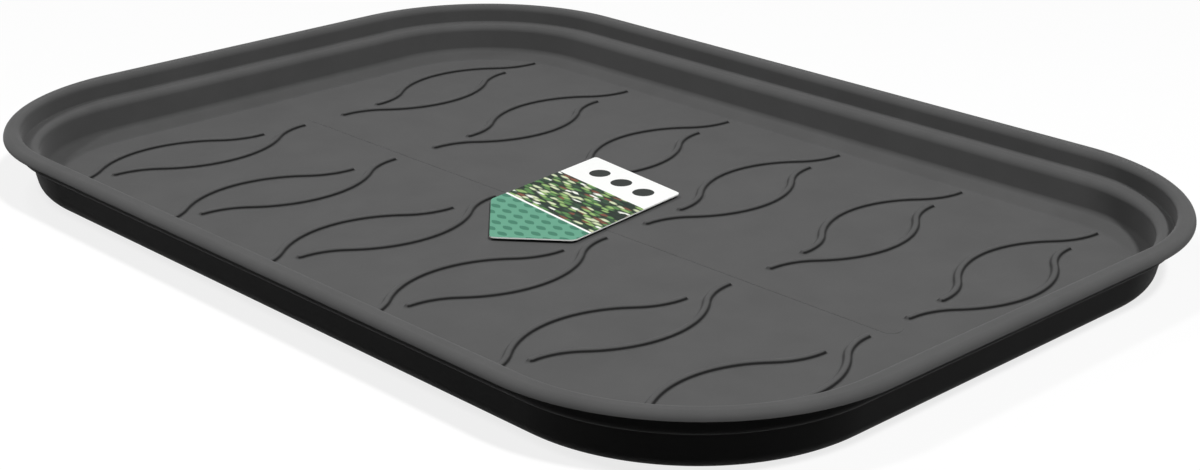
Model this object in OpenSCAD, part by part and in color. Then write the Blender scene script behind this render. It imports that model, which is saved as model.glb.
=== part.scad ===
// Grow tray saucer: a shallow moulded tray with a stepped wall, a rolled rim and leaf ribs on
// its floor, and a stiff card label tacked on the rib crests.
// Millimetres, +Z up, origin at the bottom centre, the long side along X.

/* [Tray] */
// Overall length over the rim
tray_length = 515; // [500:1:560]
// Overall width over the rim
tray_width = 365; // [358:1:400]
// Overall height from the resting face to the rim top
tray_height = 29.8; // [28:0.1:36]
// Corner radius at the outside of the rim
corner_radius = 98; // [92:0.5:104]
// Wall and floor thickness
wall = 2; // [1.6:0.1:2.4]

/* [Rim] */
// Width of the rolled rim from the upper wall's inner face to its outside
lip_width = 9.7; // [8.5:0.1:12]
// Outside rounding of the rolled rim, on both edges
lip_round = 3.1; // [2.8:0.1:4.2]
// Straight length of the rim's outer edge below its rounding
lip_skirt = 0.2; // [0.1:0.1:4]

/* [Ledge] */
// Height of the inner ledge above the resting face
ledge_height = 20; // [17:0.1:22]
// Width of the ledge from the lower wall to the upper wall
ledge_depth = 9; // [7.5:0.1:11]
// Rounding of the ledge's front edge
ledge_round = 3.4; // [2.8:0.1:4]
// Small hollow fillet at the back of the ledge
ledge_fillet = 1; // [0.6:0.1:1.6]

/* [Base] */
// Lean of the lower wall, outward as it rises
draft = 3; // [1:0.5:6]
// Width of the sloped cove along the foot of the lower wall
cove_width = 7.5; // [5:0.1:8.5]
// Slope of the cove
cove_slope = 26; // [15:1:35]
// Rounding between the cove and the lower wall
cove_round = 3; // [2:0.1:4]
// Chamfer of the outer bottom edge
base_chamfer = 0.5; // [0.4:0.1:1.4]

/* [Leaf ribs] */
// Rows of leaves along the tray, in two mirrored columns
leaf_rows = 6; // [4:1:6]
// Spacing of the rows
leaf_pitch = 75; // [68:0.5:76]
// Height of a half-round rib above the floor
rib_height = 1.5; // [1:0.1:2.4]
// Length of a rib from end to end, along its leaf
rib_length = 111; // [100:0.5:112]
// How far the middle of a rib bows out from the line of its ends
rib_bow = 20.5; // [16:0.1:22]
// Bend radius at both ends of a rib
rib_end_radius = 32.3; // [24:0.1:38]
// Distance of the outer rib's middle from the tray's centre line
rib_outer_mid = 93.3; // [90:0.1:94]
// Distance of the inner rib's middle from the tray's centre line
rib_inner_mid = 69; // [67:0.1:76]
// Half the space between the end lines of a leaf's two ribs
rib_spread = 1.1; // [0:0.1:3]

/* [Flow strip] */
// Length of the low strip along the middle of the floor
strip_length = 390; // [300:1:420]
// Width of the strip
strip_width = 10.4; // [6:0.1:14]
// Height of the strip above the floor
strip_height = 0.25; // [0.2:0.05:0.6]

/* [Label] */
// Length of the label from its blunt point to its far end
label_length = 107; // [90:0.5:112]
// Width of the label
label_width = 64; // [56:0.5:70]
// Card thickness
label_thick = 0.6; // [0.4:0.05:1]
// Length of the blunt point at the near end
label_point = 29; // [15:0.5:36]
// Slant of the far end and of the point
label_slant = 14.5; // [0:0.5:18]
// Turn of the label about the vertical
label_turn = 7.5; // [0:0.5:12]
// Label centre along the tray
label_x = -1.5; // [-6:0.5:2]
// Label centre across the tray
label_y = 1; // [-3:0.5:5]
// Corner rounding of the label
label_round = 2; // [1:0.1:4]

/* [Hidden] */
$fn = 72;

// Corner centres of the plan
corner_x = tray_length / 2 - corner_radius;
corner_y = tray_width / 2 - corner_radius;
// Radii about a corner centre: upper wall, lower wall at the ledge and at the floor, edge of the flat floor
lip_face = corner_radius - lip_width;
ledge_face = lip_face - ledge_depth;
foot_face = ledge_face - (ledge_height - wall) * tan(draft);
floor_radius = round(10 * (foot_face - cove_width)) / 10;
// Bend centres of the wall section and the height of the rim's outer edge
cove_reach = ledge_face - ledge_height * tan(draft) - cove_round / cos(draft) - floor_radius;
cove_rise = cove_round + wall * cos(cove_slope) + sin(cove_slope) * cove_reach;
cove_z = cove_rise / (cos(cove_slope) - sin(cove_slope) * tan(draft));
cove_centre = [floor_radius + cove_reach + cove_z * tan(draft), cove_z];
ledge_centre = [ledge_face + ledge_round * (1 / cos(draft) - tan(draft)), ledge_height - ledge_round];
notch_centre = [lip_face - ledge_fillet, ledge_height + ledge_fillet];
lip_centre = [lip_face + lip_round, tray_height - lip_round];
rim_centre = [corner_radius - lip_round, tray_height - lip_round];
skirt_end = rim_centre[1] - lip_skirt;
// Straight faces stop this far inside the bends they run into
skin = 0.01;
// Bend of a rib: two end arcs and a middle arc that meet in tangency
rib_sweep = 2 * atan(2 * rib_bow / rib_length);
rib_mid_radius = rib_length / 2 / sin(rib_sweep) - rib_end_radius;
// Thinning of a rib from its middle bend to an end bend, and on to a round end
rib_taper = 0.98;
// Degrees by which an end bend runs into the middle bend
rib_overlap = 0.5;
// Corners of the label about its centre, anticlockwise from the point
label_lean = tan(label_slant) * label_width / 2;
label_corners = [
    [0, -label_length / 2],
    [label_width / 2, label_point - label_length / 2 - label_lean],
    [label_width / 2, label_length / 2 - label_lean],
    [-label_width / 2, label_length / 2 + label_lean],
    [-label_width / 2, label_point - label_length / 2 + label_lean],
];

// Points of the rounding of corner b between its neighbours a and c, anticlockwise
function unit(v) = v / norm(v);
function rounding(a, b, c, radius) = let (
    back = unit(a - b),
    ahead = unit(c - b),
    half = acos(back * ahead) / 2,
    centre = b + unit(back + ahead) * radius / sin(half),
    start = b + back * radius / tan(half) - centre,
    first = atan2(start[1], start[0]),
    step = (180 - 2 * half) / 8
) [for (i = [0 : 8]) centre + radius * [cos(first + i * step), sin(first + i * step)]];

// A point just inside a bend, at an angle about its centre
function inside(centre, radius, angle) = centre + (radius - skin) * [cos(angle), sin(angle)];

// A bend of the section
module bend(centre, radius)
    translate(centre)
        circle(radius);

// The hollow of the tray in section, from the floor's edge over the ledge to the rim
module inner_hollow()
    difference() {
        union() {
            polygon([
                [floor_radius - 1, wall],
                [floor_radius, wall],
                inside(cove_centre, cove_round, cove_slope - 90),
                inside(cove_centre, cove_round, -draft),
                inside(ledge_centre, ledge_round, 180 - draft),
                inside(ledge_centre, ledge_round, 90),
                inside(notch_centre, ledge_fillet, -90),
                inside(notch_centre, ledge_fillet, 0),
                inside(lip_centre, lip_round, 180),
                inside(lip_centre, lip_round, 90),
                [lip_centre[0], tray_height + 1],
                [floor_radius - 1, tray_height + 1],
            ]);
            bend(cove_centre, cove_round);
            bend(notch_centre, ledge_fillet);
        }
        bend(ledge_centre, ledge_round);
        bend(lip_centre, lip_round);
    }

// The space outside the tray in section, under the ledge and up into the rolled rim
module outer_hollow() {
    foot = foot_face - wall * tan(draft) + wall / cos(draft);
    difference() {
        union() {
            polygon([
                [foot - base_chamfer, -1],
                [foot - base_chamfer, 0],
                [foot + base_chamfer * tan(draft), base_chamfer],
                inside(ledge_centre, ledge_round - wall, 180 - draft),
                inside(ledge_centre, ledge_round - wall, 90),
                inside(notch_centre, ledge_fillet + wall, -90),
                inside(notch_centre, ledge_fillet + wall, 0),
                inside(lip_centre, lip_round - wall, 180),
                inside(lip_centre, lip_round - wall, 90),
                inside(rim_centre, lip_round - wall, 90),
                inside(rim_centre, lip_round - wall, 0),
                [inside(rim_centre, lip_round - wall, 0)[0], skirt_end],
                [corner_radius + 1, skirt_end],
                [corner_radius + 1, -1],
            ]);
            bend(ledge_centre, ledge_round - wall);
            bend(lip_centre, lip_round - wall);
            bend(rim_centre, lip_round - wall);
        }
        bend(notch_centre, ledge_fillet + wall);
    }
}

// Cross-section of the wall, from the floor's edge out to the rim's outer edge
module wall_section()
    difference() {
        union() {
            polygon([
                [floor_radius, 0],
                [corner_radius, 0],
                inside(rim_centre, lip_round, 0),
                inside(rim_centre, lip_round, 90),
                [floor_radius, tray_height],
            ]);
            bend(rim_centre, lip_round);
        }
        inner_hollow();
        outer_hollow();
    }

// The wall swept round the tray: four straight sides and four turned corners
module wall_ring() {
    for (side = [0, 1])
        mirror([0, side, 0]) {
            translate([-corner_x, corner_y, 0])
                rotate([90, 0, 90])
                    linear_extrude(2 * corner_x)
                        wall_section();
            for (end = [0, 1])
                mirror([end, 0, 0])
                    translate([corner_x, corner_y, 0])
                        rotate_extrude(angle = 90)
                            wall_section();
        }
    for (end = [0, 1])
        mirror([end, 0, 0])
            translate([corner_x, corner_y, 0])
                rotate([90, 0, 0])
                    linear_extrude(2 * corner_y)
                        wall_section();
}

// The floor inside the swept wall
module floor_plate()
    linear_extrude(wall) {
        square([2 * (corner_x + floor_radius), 2 * corner_y], center = true);
        square([2 * corner_x, 2 * (corner_y + floor_radius)], center = true);
        for (x = [-corner_x, corner_x], y = [-corner_y, corner_y])
            translate([x, y])
                circle(floor_radius);
    }

// A half-round bent length of rib, anticlockwise from +X about its bend centre
module rib_bend(bend_radius, sweep, thickness)
    rotate_extrude(angle = sweep)
        translate([bend_radius, 0])
            circle(thickness);

// One half-round rib on the floor, along Y about its middle and bowed toward -X: the middle bend,
// two end bends that run into it and two round ends, each a hair thinner than the one before
module rib() {
    for (end = [0, 1])
        mirror([0, end, 0])
            translate([0, -rib_length / 2, 0]) {
                sphere(rib_height * rib_taper ^ 2);
                translate([-rib_end_radius, 0, 0])
                    rib_bend(rib_end_radius, rib_sweep + rib_overlap, rib_height * rib_taper);
            }
    translate([rib_mid_radius - rib_bow, 0, 0])
        rotate([0, 0, 180 - rib_sweep])
            rib_bend(rib_mid_radius, 2 * rib_sweep, rib_height);
}

// A leaf of two ribs that bow apart and are shifted along each other
module leaf()
    translate([0, 0, wall]) {
        translate([-rib_spread, rib_outer_mid, 0])
            rib();
        translate([rib_spread, rib_inner_mid, 0])
            mirror([1, 0, 0])
                rib();
    }

// All the leaves, two mirrored columns of rows
module leaves()
    for (row = [0 : leaf_rows - 1], column = [0, 1])
        translate([(row - (leaf_rows - 1) / 2) * leaf_pitch, 0, 0])
            mirror([0, column, 0])
                leaf();

// The low strip along the middle of the floor, with round ends
module flow_strip()
    translate([0, 0, wall])
        linear_extrude(strip_height) {
            square([strip_length - strip_width, strip_width], center = true);
            for (end = [-1, 1])
                translate([end * (strip_length - strip_width) / 2, 0])
                    circle(strip_width / 2);
        }

module tray()
    color("#5C5C5C") {
        wall_ring();
        floor_plate();
        flow_strip();
        leaves();
    }

// The stiff card label, level on the rib crests
module label()
    color("#F2F2EE")
        translate([label_x, label_y, wall + rib_height])
            rotate([0, 0, label_turn])
                linear_extrude(label_thick)
                    polygon([for (i = [0 : 4]) each rounding(
                        label_corners[(i + 4) % 5],
                        label_corners[i],
                        label_corners[(i + 1) % 5],
                        label_round
                    )]);

tray();
label();
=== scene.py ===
import math

import bmesh
import bpy
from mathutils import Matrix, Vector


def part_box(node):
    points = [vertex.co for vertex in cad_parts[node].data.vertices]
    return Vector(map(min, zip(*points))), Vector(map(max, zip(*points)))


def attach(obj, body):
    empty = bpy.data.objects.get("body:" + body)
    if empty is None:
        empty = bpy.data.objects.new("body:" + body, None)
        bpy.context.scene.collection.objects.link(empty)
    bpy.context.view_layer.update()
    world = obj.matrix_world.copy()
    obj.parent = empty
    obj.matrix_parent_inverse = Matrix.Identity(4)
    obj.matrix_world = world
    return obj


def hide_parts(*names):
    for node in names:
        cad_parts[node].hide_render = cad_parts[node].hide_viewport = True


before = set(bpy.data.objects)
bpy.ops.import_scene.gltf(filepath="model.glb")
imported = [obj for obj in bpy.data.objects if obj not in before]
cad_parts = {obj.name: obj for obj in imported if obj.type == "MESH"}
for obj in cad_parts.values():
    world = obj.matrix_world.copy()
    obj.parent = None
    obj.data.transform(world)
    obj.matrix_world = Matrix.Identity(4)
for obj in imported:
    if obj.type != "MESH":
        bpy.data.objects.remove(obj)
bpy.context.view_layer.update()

# Camera: a long lens looking down across one corner of the tray, as in a catalogue picture.
# Its place, aim and lens give the photographed frame of 1200 by 470.
MM = 0.001
CAMERA_PLACE = (658.05 * MM, -609.84 * MM, 333.45 * MM)
CAMERA_TILT = math.radians(69.03)
CAMERA_TURN = math.radians(46.2)
CAMERA_LENS = 62.17
CAMERA_SENSOR = 36
CAMERA_NEAR = 10 * MM
bpy.ops.object.select_all(action="DESELECT")
bpy.ops.object.camera_add(location=CAMERA_PLACE, rotation=(CAMERA_TILT, 0, CAMERA_TURN))
camera = bpy.context.object
camera.name = "camera"
camera.data.lens = CAMERA_LENS
camera.data.sensor_width = CAMERA_SENSOR
camera.data.clip_start = CAMERA_NEAR
bpy.context.scene.camera = camera

# Tray shell: one injection moulding of polypropylene, open at the top. Its inside steps in from
# the rolled rim over a ledge and a sloped cove to the floor, and its outside tapers to a round foot.
tray_low, tray_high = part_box("tray")
TRAY_LENGTH = tray_high.x - tray_low.x
TRAY_WIDTH = tray_high.y - tray_low.y
TRAY_TOP = tray_high.z
WALL = 2 * MM
CORNER_RADIUS = 98 * MM
CORNER_STEPS = 48
LIP_WIDTH = 9.7 * MM
LIP_ROUND = 3.1 * MM
LIP_DROP = 3.3 * MM
LIP_EDGE_ROUND = 0.15 * MM
LEDGE_TOP = 20 * MM
LEDGE_DEPTH = 9 * MM
LEDGE_ROUND = 3.4 * MM
LEDGE_FILLET = 1 * MM
WALL_LEAN = math.tan(math.radians(3))
COVE_LEAN = math.tan(math.radians(26))
COVE_WIDTH = 7.46 * MM
COVE_ROUND = 3 * MM
FLOOR_ROUND = 4 * MM
OUTER_LEAN = math.tan(math.radians(12))
FOOT_INSET = 15.15 * MM
FOOT_ROUND = 7.5 * MM
UNDER_ROUND = 0.5 * MM
ROUND_STEPS = 8
WIDEST_ROUND = 7 * MM
MERGE = 0.001 * MM
CORNER_SLACK = 0.01 * MM
# A ring's fullness is how much smaller its corner radius is than that of an even offset of the rim.
RIM_FULLNESS = 3.5 * MM
UPPER_FULLNESS = 5.5 * MM
LEDGE_FULLNESS = 7 * MM
BASE_FULLNESS = 11 * MM


def select_only(piece):
    bpy.ops.object.select_all(action="DESELECT")
    piece.select_set(True)
    bpy.context.view_layer.objects.active = piece


def weigh_selected_edges(piece, width):
    """Gives the selected edges the bevel weight of a rounding that starts this far from the edge."""
    mesh = bmesh.from_edit_mesh(piece.data)
    layers = mesh.edges.layers.float
    weight = layers.get("bevel_weight_edge") or layers.new("bevel_weight_edge")
    for edge in mesh.edges:
        if edge.select:
            edge[weight] = width / WIDEST_ROUND
    bmesh.update_edit_mesh(piece.data)


def fill_corners(piece, before, after):
    """Brings the corners of the selected ring from one fullness to another."""
    mesh = bmesh.from_edit_mesh(piece.data)
    growth = after - before
    for vertex in mesh.verts:
        out_x = abs(vertex.co.x) - TRAY_LENGTH / 2 + CORNER_RADIUS - before
        out_y = abs(vertex.co.y) - TRAY_WIDTH / 2 + CORNER_RADIUS - before
        if vertex.select and min(out_x, out_y) > -CORNER_SLACK:
            bearing = math.atan2(out_y, out_x)
            vertex.co.x += math.copysign(1, vertex.co.x) * growth * (1 - math.cos(bearing))
            vertex.co.y += math.copysign(1, vertex.co.y) * growth * (1 - math.sin(bearing))
    bmesh.update_edit_mesh(piece.data)


def stepped_sheet(name, height, end_round, steps):
    """A sheet that starts as the tray's outline at a height, and steps inward.

    A step is an inset, a rise, the rounding at its end and the fullness of its corners.
    """
    bpy.ops.mesh.primitive_plane_add(size=1, enter_editmode=True)
    sheet = bpy.context.object
    sheet.name = name
    bpy.ops.transform.resize(value=(TRAY_LENGTH, TRAY_WIDTH, 1))
    bpy.ops.transform.translate(value=(0, 0, height))
    bpy.ops.mesh.bevel(offset=CORNER_RADIUS, offset_type="OFFSET", segments=CORNER_STEPS, affect="VERTICES")
    bpy.ops.mesh.select_all(action="SELECT")
    weigh_selected_edges(sheet, end_round)
    directions = [math.atan2(rise, -inset) for inset, rise, _, _ in steps] + [math.pi]
    before = 0
    for (inset, rise, radius, fullness), here, ahead in zip(steps, directions, directions[1:]):
        bpy.ops.mesh.inset(thickness=inset, depth=rise)
        fill_corners(sheet, before, fullness)
        before = fullness
        turn = abs((ahead - here + math.pi) % (2 * math.pi) - math.pi)
        weigh_selected_edges(sheet, radius * math.tan(turn / 2))
    bpy.ops.object.mode_set(mode="OBJECT")
    return sheet


lip_edge = TRAY_TOP - LIP_DROP
cove_rise = COVE_WIDTH / (1 / COVE_LEAN - WALL_LEAN)
cove_run = cove_rise / COVE_LEAN
lower_wall = LEDGE_TOP - WALL - cove_rise
bpy.ops.object.select_all(action="DESELECT")
tray = stepped_sheet("tray_moulding", lip_edge, LIP_EDGE_ROUND, [
    (0, LIP_DROP, LIP_ROUND, 0),
    (LIP_WIDTH, 0, LIP_ROUND, RIM_FULLNESS),
    (0, LEDGE_TOP - TRAY_TOP, LEDGE_FILLET, UPPER_FULLNESS),
    (LEDGE_DEPTH, 0, LEDGE_ROUND, LEDGE_FULLNESS),
    (lower_wall * WALL_LEAN, -lower_wall, COVE_ROUND, BASE_FULLNESS),
    (cove_run, -cove_rise, FLOOR_ROUND, BASE_FULLNESS),
])
outer_drop = LEDGE_TOP - WALL
outer_run = outer_drop * OUTER_LEAN
bpy.ops.object.select_all(action="DESELECT")
tray_outside = stepped_sheet("tray_outside", lip_edge, LIP_EDGE_ROUND, [
    (WALL, 0, LIP_EDGE_ROUND, 0),
    (0, LIP_DROP - WALL, LIP_ROUND - WALL, 0),
    (LIP_WIDTH - 2 * WALL, 0, LIP_ROUND - WALL, RIM_FULLNESS),
    (0, LEDGE_TOP - TRAY_TOP, LEDGE_FILLET + WALL, UPPER_FULLNESS),
    (FOOT_INSET - outer_run - LIP_WIDTH + WALL, 0, UNDER_ROUND, 0),
    (outer_run, -outer_drop, FOOT_ROUND, 0),
])
select_only(tray)
tray_outside.select_set(True)
bpy.ops.object.join()
bpy.ops.object.mode_set(mode="EDIT")
bpy.ops.mesh.select_all(action="SELECT")
bpy.ops.mesh.remove_doubles(threshold=MERGE)
bpy.ops.mesh.normals_make_consistent(inside=False)
bpy.ops.object.mode_set(mode="OBJECT")
rounding = tray.modifiers.new("roundings", "BEVEL")
rounding.limit_method = "WEIGHT"
rounding.width = WIDEST_ROUND
rounding.segments = ROUND_STEPS
rounding.use_clamp_overlap = False
bpy.ops.object.modifier_apply(modifier="roundings")


def linear(hex_colour):
    """A colour written as sRGB hex, in the linear values that nodes take."""
    parts = [int(hex_colour[i : i + 2], 16) / 255 for i in (1, 3, 5)]
    return [p / 12.92 if p <= 0.04045 else ((p + 0.055) / 1.055) ** 2.4 for p in parts] + [1]


def add_node(tree, kind, settings=None, **inputs):
    """Adds a node, sets its settings and gives each named input a value or another node's output.

    An input without a name of its own is given by its number, as _0.
    """
    node = tree.nodes.new(kind)
    for name, value in (settings or {}).items():
        setattr(node, name, value)
    for name, value in inputs.items():
        socket = node.inputs[int(name[1:])] if name[0] == "_" else node.inputs[name.replace("_", " ")]
        if isinstance(value, bpy.types.NodeSocket):
            tree.links.new(value, socket)
        else:
            socket.default_value = value
    return node


def new_material(name):
    """A material with no nodes yet, and its node tree."""
    material = bpy.data.materials.new(name)
    material.use_nodes = True
    material.node_tree.nodes.clear()
    return material, material.node_tree


# The tool's grain is about 0.2 mm. It is drawn coarser here, to show.
GRAIN_SIZE = 0.7 * MM
GRAIN_HEIGHT = 0.012 * MM
GRAIN_DETAIL = {"Detail": 2, "Roughness": 0.55}
MOTTLE_SIZE = 28 * MM
MOTTLE_DETAIL = {"Detail": 3, "Roughness": 0.6}
NOISE_SPAN = {"From_Min": 0.3, "From_Max": 0.7}
GRAIN_ROUGHNESS = {"To_Min": 0.54, "To_Max": 0.66}


def moulded_grain(tree):
    """The mottle, roughness and normal of a matt moulding."""
    place = add_node(tree, "ShaderNodeTexCoord").outputs["Object"]
    mottle = add_node(tree, "ShaderNodeTexNoise", Vector=place, Scale=1 / MOTTLE_SIZE, **MOTTLE_DETAIL)
    grain = add_node(tree, "ShaderNodeTexNoise", Vector=place, Scale=1 / GRAIN_SIZE, **GRAIN_DETAIL)
    height = grain.outputs["Fac"]
    rough = add_node(tree, "ShaderNodeMapRange", Value=height, **NOISE_SPAN, **GRAIN_ROUGHNESS)
    bump = add_node(tree, "ShaderNodeBump", Height=height, Strength=1, Distance=GRAIN_HEIGHT)
    spread = add_node(tree, "ShaderNodeMapRange", Value=mottle.outputs["Fac"], **NOISE_SPAN)
    return spread.outputs["Result"], rough.outputs["Result"], bump.outputs["Normal"]


# Polypropylene, mid grey, moulded against a fine matt tool: slightly uneven in tone, with a soft bloom
PLASTIC_DARK = "#4D4D4D"
PLASTIC_LIGHT = "#525252"
PLASTIC_SPECULAR = 0.03
BLOOM = 0.135
BLOOM_ROUGHNESS = 0.6
BLOOM_TINT = "#FFFFFF"
plastic, tree = new_material("matt moulded polypropylene")
mottle, roughness, normal = moulded_grain(tree)
tone = add_node(
    tree, "ShaderNodeMix", {"data_type": "RGBA"}, _0=mottle, _6=linear(PLASTIC_DARK), _7=linear(PLASTIC_LIGHT)
)
surface = add_node(
    tree,
    "ShaderNodeBsdfPrincipled",
    Base_Color=tone.outputs[2],
    Roughness=roughness,
    Normal=normal,
    Specular_IOR_Level=PLASTIC_SPECULAR,
    Sheen_Weight=BLOOM,
    Sheen_Roughness=BLOOM_ROUGHNESS,
    Sheen_Tint=linear(BLOOM_TINT),
)
add_node(tree, "ShaderNodeOutputMaterial", Surface=surface.outputs["BSDF"])
tray.data.materials.append(plastic)

# Leaf ribs: low half-round beads of the same moulding, two to a leaf, that lead the water under
# the pots. Each bead follows three bends, ends in a dome and meets the floor in a small fillet.
LEAF_ROWS = 6
LEAF_PITCH = 75 * MM
RIB_HEIGHT = 1.5 * MM
RIB_CROWN = 1.9 * MM
RIB_FILLET = 1.6 * MM
RIB_LENGTH = 111 * MM
RIB_BOW = 20.5 * MM
RIB_END_RADIUS = 32.3 * MM
RIB_OUTER_MID = 93.3 * MM
RIB_INNER_MID = 69 * MM
RIB_SPREAD = 1.1 * MM
RIB_STEPS = 14
FILLET_STEPS = 5
CROWN_STEPS = 6
DOME_STEPS = 12
ROOT_DEPTH = 0.5 * MM
# The floor's pattern sinks this far into the floor, which gives its union with the tray clean edges.
SINK = 0.005 * MM
rib_sweep = 2 * math.atan(2 * RIB_BOW / RIB_LENGTH)
rib_mid_radius = RIB_LENGTH / 2 / math.sin(rib_sweep) - RIB_END_RADIUS
crown_drop = RIB_CROWN - RIB_HEIGHT
fillet_out = math.sqrt((RIB_CROWN + RIB_FILLET) ** 2 - (RIB_FILLET + crown_drop) ** 2)
fillet_turn = math.atan2(RIB_FILLET + crown_drop, fillet_out)


def rib_section():
    """The rib's section from foot to foot as (across, up), its feet rooted in the floor."""
    quarter = math.pi / 2
    foot = [quarter + (quarter - fillet_turn) * i / FILLET_STEPS for i in range(FILLET_STEPS + 1)]
    crown = [fillet_turn + (quarter - fillet_turn) * i / CROWN_STEPS for i in range(1, CROWN_STEPS)]
    half = [(fillet_out, -ROOT_DEPTH)]
    half += [(fillet_out + RIB_FILLET * math.cos(a), RIB_FILLET * (1 - math.sin(a))) for a in foot]
    half += [(RIB_CROWN * math.cos(a), RIB_CROWN * math.sin(a) - crown_drop) for a in crown]
    return half + [(0, RIB_HEIGHT)] + [(-across, up) for across, up in reversed(half)]


def select_where(piece, holds):
    """Selects the vertices of a piece in edit mode whose place fits."""
    mesh = bmesh.from_edit_mesh(piece.data)
    bpy.ops.mesh.select_mode(type="VERT")
    for vertex in mesh.verts:
        vertex.select_set(holds(vertex.co))
    mesh.select_flush_mode()
    bmesh.update_edit_mesh(piece.data)


def close_below():
    """Closes the open bottom of the piece in edit mode and points its faces outward."""
    bpy.ops.mesh.select_all(action="SELECT")
    bpy.ops.mesh.remove_doubles(threshold=MERGE)
    bpy.ops.mesh.select_all(action="DESELECT")
    bpy.ops.mesh.select_mode(type="EDGE")
    bpy.ops.mesh.select_non_manifold(
        use_wire=False, use_multi_face=False, use_non_contiguous=False, use_verts=False
    )
    bpy.ops.mesh.edge_face_add()
    bpy.ops.mesh.select_all(action="SELECT")
    bpy.ops.mesh.normals_make_consistent(inside=False)


bpy.ops.object.select_all(action="DESELECT")
bpy.ops.mesh.primitive_plane_add(size=MM, enter_editmode=True)
rib = bpy.context.object
rib.name = "rib"
bpy.ops.mesh.merge(type="CENTER")
section = rib_section()
bpy.ops.transform.translate(value=(section[0][0], -RIB_LENGTH / 2, WALL - SINK + section[0][1]))
for (across, up), (next_across, next_up) in zip(section, section[1:]):
    move = (next_across - across, 0, next_up - up)
    bpy.ops.mesh.extrude_vertices_move(TRANSFORM_OT_translate={"value": move})
bpy.ops.mesh.select_all(action="SELECT")
rib_bends = [
    (-RIB_END_RADIUS, -RIB_LENGTH / 2, rib_sweep, RIB_STEPS),
    (rib_mid_radius - RIB_BOW, 0, -2 * rib_sweep, 2 * RIB_STEPS),
    (-RIB_END_RADIUS, RIB_LENGTH / 2, rib_sweep, RIB_STEPS),
]
for bend_x, bend_y, sweep, steps in rib_bends:
    bpy.ops.mesh.spin(steps=steps, angle=sweep, center=(bend_x, bend_y, WALL), axis=(0, 0, -1))
for end in (-1, 1):
    end_y = end * RIB_LENGTH / 2
    select_where(rib, lambda place: abs(place.y - end_y) < MERGE and place.x > -MERGE)
    bpy.ops.mesh.spin(steps=DOME_STEPS, angle=end * math.pi, center=(0, end_y, WALL), axis=(0, 0, -1))
close_below()
bpy.ops.object.mode_set(mode="OBJECT")

# The same polypropylene on the ribs, with grained crests. Its flanks carry painted shade, darker the steeper
# they are, and less of it at the round ends, where they face along the rib
CREST_DARK = "#525252"
CREST_LIGHT = "#565656"
# Colour of the painted shade on the steepest flanks
PAINTED_FLANK_SHADE = "#191919"
CREST_TILT = math.cos(math.radians(13))
FLANK_TILT = math.cos(math.radians(48))
END_START = math.radians(45)
END_FULL = math.radians(75)
END_SHADE_SHARE = 0.35
RIB_BLOOM = 0.1
RIB_BLOOM_ROUGHNESS = 0.5
ribbed_plastic, tree = new_material("moulded polypropylene of the ribs")
mottle, roughness, normal = moulded_grain(tree)
place = add_node(tree, "ShaderNodeTexCoord")
facing = add_node(tree, "ShaderNodeSeparateXYZ", Vector=place.outputs["Normal"]).outputs
# Painted shade by slope: none on the crest, full on the steep flanks
slope_shade = add_node(
    tree,
    "ShaderNodeMapRange",
    {"interpolation_type": "SMOOTHSTEP"},
    Value=facing["Z"],
    From_Min=CREST_TILT,
    From_Max=FLANK_TILT,
).outputs["Result"]
level_x = add_node(tree, "ShaderNodeMath", {"operation": "ABSOLUTE"}, _0=facing["X"]).outputs[0]
level_y = add_node(tree, "ShaderNodeMath", {"operation": "ABSOLUTE"}, _0=facing["Y"]).outputs[0]
turn = add_node(tree, "ShaderNodeMath", {"operation": "ARCTAN2"}, _0=level_y, _1=level_x).outputs[0]
# Painted shade by facing: less of it where a flank faces along the rib, at the round ends
facing_shade = add_node(
    tree,
    "ShaderNodeMapRange",
    {"interpolation_type": "SMOOTHSTEP"},
    Value=turn,
    From_Min=END_START,
    From_Max=END_FULL,
    To_Min=1,
    To_Max=END_SHADE_SHARE,
).outputs["Result"]
# The painted shade, slope times facing, which turns the crest colour to the dark flank colour
dark = add_node(tree, "ShaderNodeMath", {"operation": "MULTIPLY"}, _0=slope_shade, _1=facing_shade).outputs[0]
crest = add_node(
    tree, "ShaderNodeMix", {"data_type": "RGBA"}, _0=mottle, _6=linear(CREST_DARK), _7=linear(CREST_LIGHT)
).outputs[2]
tone = add_node(tree, "ShaderNodeMix", {"data_type": "RGBA"}, _0=dark, _6=crest, _7=linear(PAINTED_FLANK_SHADE))
surface = add_node(
    tree,
    "ShaderNodeBsdfPrincipled",
    Base_Color=tone.outputs[2],
    Roughness=roughness,
    Normal=normal,
    Specular_IOR_Level=PLASTIC_SPECULAR,
    Sheen_Weight=RIB_BLOOM,
    Sheen_Roughness=RIB_BLOOM_ROUGHNESS,
    Sheen_Tint=linear(BLOOM_TINT),
)
add_node(tree, "ShaderNodeOutputMaterial", Surface=surface.outputs["BSDF"])
rib.data.materials.append(ribbed_plastic)

ribs = []
for row in range(LEAF_ROWS):
    along = (row - (LEAF_ROWS - 1) / 2) * LEAF_PITCH
    for side in (1, -1):
        for bow, middle in ((1, RIB_OUTER_MID), (-1, RIB_INNER_MID)):
            select_only(rib)
            bpy.ops.object.duplicate()
            copy = bpy.context.object
            copy.name = f"rib_{len(ribs)}"
            copy.scale = (bow, side, 1)
            copy.location = (along - bow * RIB_SPREAD, side * middle, 0)
            bpy.ops.object.transform_apply(location=True, rotation=False, scale=True)
            bpy.ops.object.mode_set(mode="EDIT")
            bpy.ops.mesh.select_all(action="SELECT")
            bpy.ops.mesh.normals_make_consistent(inside=False)
            bpy.ops.object.mode_set(mode="OBJECT")
            ribs.append(copy)
bpy.data.objects.remove(rib)

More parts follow.
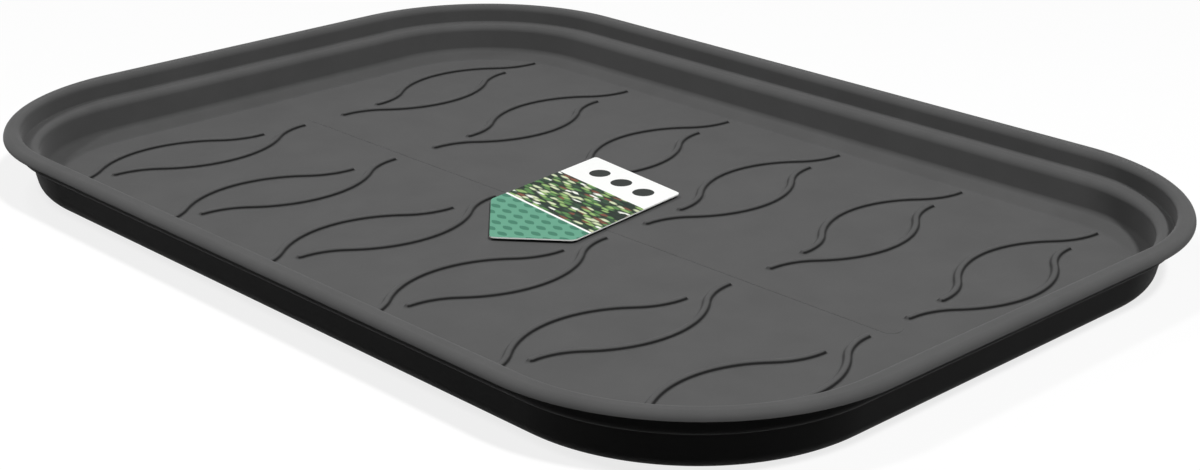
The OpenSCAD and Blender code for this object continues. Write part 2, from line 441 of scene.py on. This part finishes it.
# Flow strip: a low raised band with round ends along the middle of the floor, part of the same
# moulding, which shows only as a faint line. The two rounds of an end stop just short of each other.
STRIP_LENGTH = 390 * MM
STRIP_WIDTH = 10.4 * MM
STRIP_HEIGHT = 0.25 * MM
STRIP_SLOPE = 0.3 * MM
STRIP_END_SHARE = 0.999
STRIP_END_STEPS = 16
strip_end_radius = STRIP_WIDTH / 2 * STRIP_END_SHARE
bpy.ops.object.select_all(action="DESELECT")
bpy.ops.mesh.primitive_plane_add(size=1, enter_editmode=True)
strip = bpy.context.object
strip.name = "flow_strip"
bpy.ops.transform.resize(value=(STRIP_LENGTH, STRIP_WIDTH, 1))
bpy.ops.transform.translate(value=(0, 0, WALL - SINK - ROOT_DEPTH))
bpy.ops.mesh.bevel(
    offset=strip_end_radius, offset_type="OFFSET", segments=STRIP_END_STEPS, affect="VERTICES"
)
bpy.ops.mesh.select_all(action="SELECT")
bpy.ops.mesh.extrude_region_move(TRANSFORM_OT_translate={"value": (0, 0, ROOT_DEPTH)})
bpy.ops.mesh.inset(thickness=STRIP_SLOPE, depth=STRIP_HEIGHT)
close_below()
bpy.ops.object.mode_set(mode="OBJECT")
strip.data.materials.append(plastic)

# The ribs and the strip are joined to the floor as one body. Edges that turn less than SMOOTH_TURN are
# shaded smooth, which leaves the edges of the strip sharp.
SMOOTH_TURN = math.radians(35)
select_only(strip)
for copy in ribs:
    copy.select_set(True)
bpy.ops.object.join()
select_only(tray)
fusing = tray.modifiers.new("floor pattern", "BOOLEAN")
fusing.operation = "UNION"
fusing.solver = "MANIFOLD"
fusing.material_mode = "TRANSFER"
fusing.object = strip
bpy.ops.object.modifier_apply(modifier="floor pattern")
bpy.data.objects.remove(strip)
bpy.ops.object.shade_smooth_by_angle(angle=SMOOTH_TURN)
evening = tray.modifiers.new("even shading", "WEIGHTED_NORMAL")
evening.keep_sharp = True
bpy.ops.object.modifier_apply(modifier="even shading")
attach(tray, "root")
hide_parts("tray")

# Label: a stiff coated card, die-cut to a blunt point at one end and a slanted edge at the other.
# It lies level on the crests of the ribs, held by dabs of glue that don't show.
label_low, label_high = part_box("label")
LABEL_LENGTH = 107 * MM
LABEL_WIDTH = 64 * MM
LABEL_POINT = 29 * MM
LABEL_SLANT = math.tan(math.radians(14.5))
LABEL_TURN = math.radians(7.5)
LABEL_PLACE = (-1.5 * MM, 1 * MM)
LABEL_ROUND = 2 * MM
LABEL_ROUND_STEPS = 6
lean = LABEL_SLANT * LABEL_WIDTH / 2
label_corners = [
    (0, -LABEL_LENGTH / 2),
    (LABEL_WIDTH / 2, LABEL_POINT - LABEL_LENGTH / 2 - lean),
    (LABEL_WIDTH / 2, LABEL_LENGTH / 2 - lean),
    (-LABEL_WIDTH / 2, LABEL_LENGTH / 2 + lean),
    (-LABEL_WIDTH / 2, LABEL_POINT - LABEL_LENGTH / 2 + lean),
]
bpy.ops.object.select_all(action="DESELECT")
bpy.ops.mesh.primitive_circle_add(
    vertices=len(label_corners), radius=LABEL_WIDTH, fill_type="NGON", enter_editmode=True
)
label = bpy.context.object
label.name = "card_label"
mesh = bmesh.from_edit_mesh(label.data)
mesh.verts.ensure_lookup_table()
for vertex, (x, y) in zip(mesh.verts, label_corners):
    vertex.co = (x, y, 0)
bmesh.update_edit_mesh(label.data)
bpy.ops.mesh.select_all(action="SELECT")
bpy.ops.mesh.bevel(offset=LABEL_ROUND, offset_type="OFFSET", segments=LABEL_ROUND_STEPS, affect="VERTICES")
bpy.ops.mesh.select_all(action="SELECT")
bpy.ops.mesh.normals_make_consistent(inside=False)
bpy.ops.mesh.extrude_region_move(TRANSFORM_OT_translate={"value": (0, 0, label_high.z - label_low.z)})
bpy.ops.mesh.select_all(action="SELECT")
bpy.ops.mesh.normals_make_consistent(inside=False)
bpy.ops.object.mode_set(mode="OBJECT")
label.rotation_euler.z = LABEL_TURN
label.location = (*LABEL_PLACE, label_low.z)
bpy.ops.object.transform_apply(location=True, rotation=True, scale=True)

# Coated card, white, offset-printed on top: a green end with rows of small leaves, a middle field of
# foliage and a white end with three dots. It is drawn in millimetres, t running square to the far end.
PRINT_TURN = LABEL_TURN - math.atan(LABEL_SLANT)
CARD_WHITE = "#FBFCFA"
card, tree = new_material("coated printed card")
place = add_node(tree, "ShaderNodeTexCoord")
print_place = add_node(
    tree,
    "ShaderNodeMapping",
    {"vector_type": "TEXTURE"},
    Vector=place.outputs["Object"],
    Location=(*LABEL_PLACE, 0),
    Rotation=(0, 0, PRINT_TURN),
    Scale=(MM, MM, MM),
).outputs["Vector"]
axes = add_node(tree, "ShaderNodeSeparateXYZ", Vector=print_place)
s, t = axes.outputs["X"], axes.outputs["Y"]

# Green end: pointed leaves in staggered rows, one to a cell, between two parabolas
END_GREEN = "#64A087"
LEAF_GREEN = "#3F7A63"
LEAF_ACROSS = 9
LEAF_ALONG = 6
LEAF_STAGGER = 0.5
LEAF_CURVE = 2
LEAF_HALF = 0.3
CELL_MIDDLE = 0.5
row = add_node(tree, "ShaderNodeMath", {"operation": "DIVIDE"}, _0=t, _1=LEAF_ALONG).outputs[0]
row_number = add_node(tree, "ShaderNodeMath", {"operation": "FLOOR"}, _0=row).outputs[0]
in_row = add_node(tree, "ShaderNodeMath", {"operation": "FRACT"}, _0=row).outputs[0]
up = add_node(tree, "ShaderNodeMath", {"operation": "SUBTRACT"}, _0=in_row, _1=CELL_MIDDLE).outputs[0]
height = add_node(tree, "ShaderNodeMath", {"operation": "ABSOLUTE"}, _0=up).outputs[0]
column = add_node(tree, "ShaderNodeMath", {"operation": "DIVIDE"}, _0=s, _1=LEAF_ACROSS).outputs[0]
column = add_node(
    tree, "ShaderNodeMath", {"operation": "MULTIPLY_ADD"}, _0=row_number, _1=LEAF_STAGGER, _2=column
).outputs[0]
in_column = add_node(tree, "ShaderNodeMath", {"operation": "FRACT"}, _0=column).outputs[0]
across = add_node(tree, "ShaderNodeMath", {"operation": "SUBTRACT"}, _0=in_column, _1=CELL_MIDDLE).outputs[0]
squared = add_node(tree, "ShaderNodeMath", {"operation": "POWER"}, _0=across, _1=2).outputs[0]
half_leaf = add_node(
    tree, "ShaderNodeMath", {"operation": "MULTIPLY_ADD"}, _0=squared, _1=-LEAF_CURVE, _2=LEAF_HALF
).outputs[0]
is_leaf = add_node(tree, "ShaderNodeMath", {"operation": "LESS_THAN"}, _0=height, _1=half_leaf).outputs[0]
green = add_node(
    tree, "ShaderNodeMix", {"data_type": "RGBA"}, _0=is_leaf, _6=linear(END_GREEN), _7=linear(LEAF_GREEN)
).outputs[2]

# Middle field: long overlapping leaves of many greens, with a few earthy ones and dark gaps
BLADE_LENGTH = 6.5
BLADE_WIDTH = 2
BLADE_TURN = math.radians(38)
BEND_SCALE = 0.8
BEND_SHARE = 0.35
BLADE_EDGE = 0.62
BLADE_BODY = 0.3
GAP_GREEN = "#1B2A20"
NEW_STOP = 0.5
FOLIAGE = {
    0: "#16211A",
    0.14: "#2F4A35",
    0.3: "#57824B",
    0.46: "#93B56F",
    0.62: "#D5DFB8",
    0.8: "#F1F4EA",
    0.9: "#7A4B3A",
}
slender = add_node(
    tree,
    "ShaderNodeMapping",
    Vector=print_place,
    Rotation=(0, 0, BLADE_TURN),
    Scale=(1 / BLADE_LENGTH, 1 / BLADE_WIDTH, 0),
).outputs["Vector"]
bend = add_node(tree, "ShaderNodeTexNoise", Vector=slender, Scale=BEND_SCALE, Detail=1)
bent = add_node(
    tree,
    "ShaderNodeMix",
    {"data_type": "RGBA", "blend_type": "LINEAR_LIGHT"},
    _0=BEND_SHARE,
    _6=slender,
    _7=bend.outputs["Color"],
).outputs[2]
blades = add_node(tree, "ShaderNodeTexVoronoi", {"voronoi_dimensions": "2D"}, Vector=bent, Scale=1).outputs
blade_tone = add_node(tree, "ShaderNodeSeparateColor", Color=blades["Color"])
foliage = add_node(tree, "ShaderNodeValToRGB", Fac=blade_tone.outputs["Red"])
ramp = foliage.color_ramp
ramp.interpolation = "CONSTANT"
while len(ramp.elements) < len(FOLIAGE):
    ramp.elements.new(NEW_STOP)
for stop, (position, colour) in zip(ramp.elements, FOLIAGE.items()):
    stop.position = position
    stop.color = linear(colour)
depth = add_node(
    tree, "ShaderNodeMapRange", Value=blades["Distance"], From_Min=BLADE_EDGE, From_Max=BLADE_BODY
).outputs["Result"]
field = add_node(
    tree, "ShaderNodeMix", {"data_type": "RGBA"}, _0=depth, _6=linear(GAP_GREEN), _7=foliage.outputs["Color"]
).outputs[2]

# White end: three plain dots in a row, the middle one half a spacing off the centre line
DOT_SPACING = 17
DOT_ROW = 38.5
DOT_RADIUS = 5.2
DOT_MIDDLE = -DOT_SPACING / 2
DOT_REACH = 1.5 * DOT_SPACING
DOT_GREY = "#262B28"
column = add_node(tree, "ShaderNodeMath", {"operation": "DIVIDE"}, _0=s, _1=DOT_SPACING).outputs[0]
in_column = add_node(tree, "ShaderNodeMath", {"operation": "FRACT"}, _0=column).outputs[0]
across = add_node(tree, "ShaderNodeMath", {"operation": "SUBTRACT"}, _0=in_column, _1=CELL_MIDDLE).outputs[0]
across = add_node(tree, "ShaderNodeMath", {"operation": "MULTIPLY"}, _0=across, _1=DOT_SPACING).outputs[0]
up = add_node(tree, "ShaderNodeMath", {"operation": "SUBTRACT"}, _0=t, _1=DOT_ROW).outputs[0]
dot_place = add_node(tree, "ShaderNodeCombineXYZ", X=across, Y=up).outputs[0]
reach = add_node(tree, "ShaderNodeVectorMath", {"operation": "LENGTH"}, _0=dot_place).outputs["Value"]
in_dot = add_node(tree, "ShaderNodeMath", {"operation": "LESS_THAN"}, _0=reach, _1=DOT_RADIUS).outputs[0]
in_three = add_node(
    tree, "ShaderNodeMath", {"operation": "COMPARE"}, _0=s, _1=DOT_MIDDLE, _2=DOT_REACH
).outputs[0]
is_dot = add_node(tree, "ShaderNodeMath", {"operation": "MULTIPLY"}, _0=in_dot, _1=in_three).outputs[0]
dots = add_node(
    tree, "ShaderNodeMix", {"data_type": "RGBA"}, _0=is_dot, _6=linear(CARD_WHITE), _7=linear(DOT_GREY)
).outputs[2]

# The three fields with a white line after the green one, on the printed side alone. The card's coat
# leaves a trace of its fibres, which sets the roughness and a faint bump.
GREEN_END = -13
WHITE_END = 25
DIVIDER = 1.4
PRINTED_SIDE = 0.5
FIBRE_SIZE = 0.625
FIBRE_HEIGHT = 0.008 * MM
CARD_ROUGHNESS = {"To_Min": 0.38, "To_Max": 0.52}
CARD_SPECULAR = 0.06
in_field = add_node(tree, "ShaderNodeMath", {"operation": "GREATER_THAN"}, _0=t, _1=GREEN_END).outputs[0]
fields = add_node(tree, "ShaderNodeMix", {"data_type": "RGBA"}, _0=in_field, _6=green, _7=field).outputs[2]
in_white = add_node(tree, "ShaderNodeMath", {"operation": "GREATER_THAN"}, _0=t, _1=WHITE_END).outputs[0]
fields = add_node(tree, "ShaderNodeMix", {"data_type": "RGBA"}, _0=in_white, _6=fields, _7=dots).outputs[2]
on_line = add_node(
    tree, "ShaderNodeMath", {"operation": "COMPARE"}, _0=t, _1=GREEN_END, _2=DIVIDER / 2
).outputs[0]
facing = add_node(tree, "ShaderNodeSeparateXYZ", Vector=place.outputs["Normal"]).outputs["Z"]
on_edge = add_node(tree, "ShaderNodeMath", {"operation": "LESS_THAN"}, _0=facing, _1=PRINTED_SIDE).outputs[0]
bare = add_node(tree, "ShaderNodeMath", {"operation": "MAXIMUM"}, _0=on_line, _1=on_edge).outputs[0]
tone = add_node(tree, "ShaderNodeMix", {"data_type": "RGBA"}, _0=bare, _6=fields, _7=linear(CARD_WHITE))
fibre = add_node(tree, "ShaderNodeTexNoise", Vector=print_place, Scale=1 / FIBRE_SIZE, Detail=2)
fibre = fibre.outputs["Fac"]
roughness = add_node(tree, "ShaderNodeMapRange", Value=fibre, **CARD_ROUGHNESS)
bump = add_node(tree, "ShaderNodeBump", Height=fibre, Strength=1, Distance=FIBRE_HEIGHT)
surface = add_node(
    tree,
    "ShaderNodeBsdfPrincipled",
    Base_Color=tone.outputs[2],
    Roughness=roughness.outputs["Result"],
    Normal=bump.outputs["Normal"],
    Specular_IOR_Level=CARD_SPECULAR,
)
add_node(tree, "ShaderNodeOutputMaterial", Surface=surface.outputs["BSDF"])
label.data.materials.append(card)
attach(label, "root")
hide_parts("label")

# Floor, light and background: a white floor and white surroundings under three round lamps. The eye
# sees both white, and only little of their light falls on the tray.
FLOOR_SIZE = 12
FLOOR_WHITE = "#FEFEFE"
FLOOR_GLOW = 0.8
FLOOR_DARK = "#202020"
WHITE = (1, 1, 1, 1)
bpy.ops.object.select_all(action="DESELECT")
bpy.ops.mesh.primitive_plane_add(size=FLOOR_SIZE, location=(0, 0, 0))
floor = bpy.context.object
floor.name = "studio_floor"


def seen_by_eye(tree):
    """1 for what the eye sees, directly, in a reflection or through glass, and 0 for scattered light."""
    path = add_node(tree, "ShaderNodeLightPath").outputs
    seen = path["Is Camera Ray"]
    for ray in ("Is Glossy Ray", "Is Transmission Ray"):
        seen = add_node(tree, "ShaderNodeMath", {"operation": "MAXIMUM"}, _0=seen, _1=path[ray]).outputs[0]
    return seen


# Studio white: pale paint that glows by itself where the eye sees it, and still takes a shadow
white, tree = new_material("studio white")
dark = add_node(tree, "ShaderNodeBsdfDiffuse", Color=linear(FLOOR_DARK)).outputs[0]
pale = add_node(tree, "ShaderNodeBsdfDiffuse", Color=linear(FLOOR_WHITE)).outputs[0]
glow = add_node(tree, "ShaderNodeEmission", Color=WHITE, Strength=1).outputs[0]
sweep = add_node(tree, "ShaderNodeMixShader", Fac=FLOOR_GLOW, _1=pale, _2=glow).outputs[0]
mixed = add_node(tree, "ShaderNodeMixShader", Fac=seen_by_eye(tree), _1=dark, _2=sweep)
add_node(tree, "ShaderNodeOutputMaterial", Surface=mixed.outputs[0])
floor.data.materials.append(white)

# Each lamp: its bearing from +X, its height angle, its share of the light on a level face, its width
LAMP_REACH = 3
LAMPS = {
    "key_light": (-12, 56, 0.66, 0.3),
    "left_light": (-103, 57, 0.26, 0.4),
    "back_light": (-170, 57, 0.11, 0.6),
}
for name, (bearing, height, share, width) in LAMPS.items():
    around, above = math.radians(bearing), math.radians(height)
    level = LAMP_REACH * math.cos(above)
    bpy.ops.object.light_add(type="AREA")
    lamp = bpy.context.object
    lamp.name = name
    lamp.location = (level * math.cos(around), level * math.sin(around), LAMP_REACH * math.sin(above))
    lamp.rotation_euler = (0, math.pi / 2 - above, around)
    lamp.data.shape = "DISK"
    lamp.data.size = width
    lamp.data.energy = (math.pi * LAMP_REACH) ** 2 * share / math.sin(above)

# The surroundings, white to the eye and nearly dark to the tray
SURROUNDING_LIGHT = 0.01
SURROUNDING_WHITE = 1
world = bpy.data.worlds.new("studio")
bpy.context.scene.world = world
world.use_nodes = True
tree = world.node_tree
tree.nodes.clear()
dim = add_node(tree, "ShaderNodeBackground", Color=WHITE, Strength=SURROUNDING_LIGHT).outputs[0]
bright = add_node(tree, "ShaderNodeBackground", Color=WHITE, Strength=SURROUNDING_WHITE).outputs[0]
mixed = add_node(tree, "ShaderNodeMixShader", Fac=seen_by_eye(tree), _1=dim, _2=bright)
add_node(tree, "ShaderNodeOutputWorld", Surface=mixed.outputs[0])
bpy.context.scene.view_settings.view_transform = "Standard"
